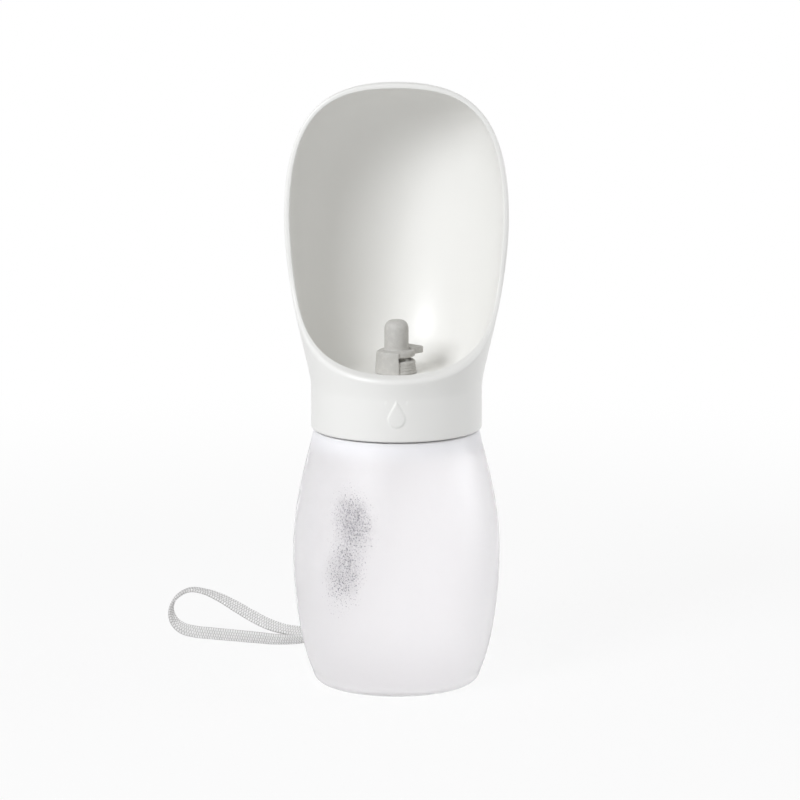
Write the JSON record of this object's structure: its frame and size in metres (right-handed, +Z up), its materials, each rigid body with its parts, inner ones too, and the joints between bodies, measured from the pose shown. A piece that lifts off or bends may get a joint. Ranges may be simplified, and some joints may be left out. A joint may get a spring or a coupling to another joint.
{
  "type": "dog travel water bottle",
  "caption": "Barrel-shaped squeeze bottle with a threaded one-piece scoop head to drink from, a flip-open silicone stopper in the scoop's floor and a woven wrist strap.",
  "frame": {"origin": "centre of the foot ring that the bottle stands on, at floor level", "axes": "+Z up along the bottle's axis; the open side of the scoop faces -Y; the strap lug is at +Y; +X is to the right seen from the front"},
  "size_m": [0.1278, 0.1009, 0.2191],
  "materials": {
    "frosted_bottle": "frosted, fine orange peel",
    "clear_silicone": "matte",
    "white_moulding": "satin",
    "inner_moulding": "satin",
    "grey_silicone": "matte",
    "woven_tape": "woven",
    "sewing_thread": "twisted"
  },
  "bodies": {
    "bottle_body": {"bottle": "frosted_bottle"},
    "seal": {"mouth_gasket": "clear_silicone"},
    "head": {"scoop": "white_moulding", "thread_sleeve": "inner_moulding", "spout_ring": "grey_silicone", "stopper_hinge": "grey_silicone", "strap_eye": "woven_tape", "strap_tail": "woven_tape", "strap_loop": "woven_tape", "strap_stitching": "sewing_thread"},
    "plug": {"stopper": "grey_silicone"}
  },
  "joints": [
    {"name": "head_lift", "type": "slide", "parent": "bottle_body", "child": "seal", "axis": [0, 0, 1], "range_m": [0, 0.0051]},
    {"name": "head_turn", "type": "hinge", "parent": "seal", "child": "head", "pos_m": [0, 0, 0.1], "axis": [0, 0, 1], "range_deg": [0, 450]},
    {"name": "stopper_flip", "type": "hinge", "parent": "head", "child": "plug", "pos_m": [-0.00566, -0.00566, 0.1195], "axis": [0.7071, -0.7071, 0], "range_deg": [0, 120], "deforming": ["stopper_hinge"]}
  ],
  "couplings": [
    {"joint": "head_lift", "follows": "head_turn", "m_per_rad": 0.00063662}
  ]
}
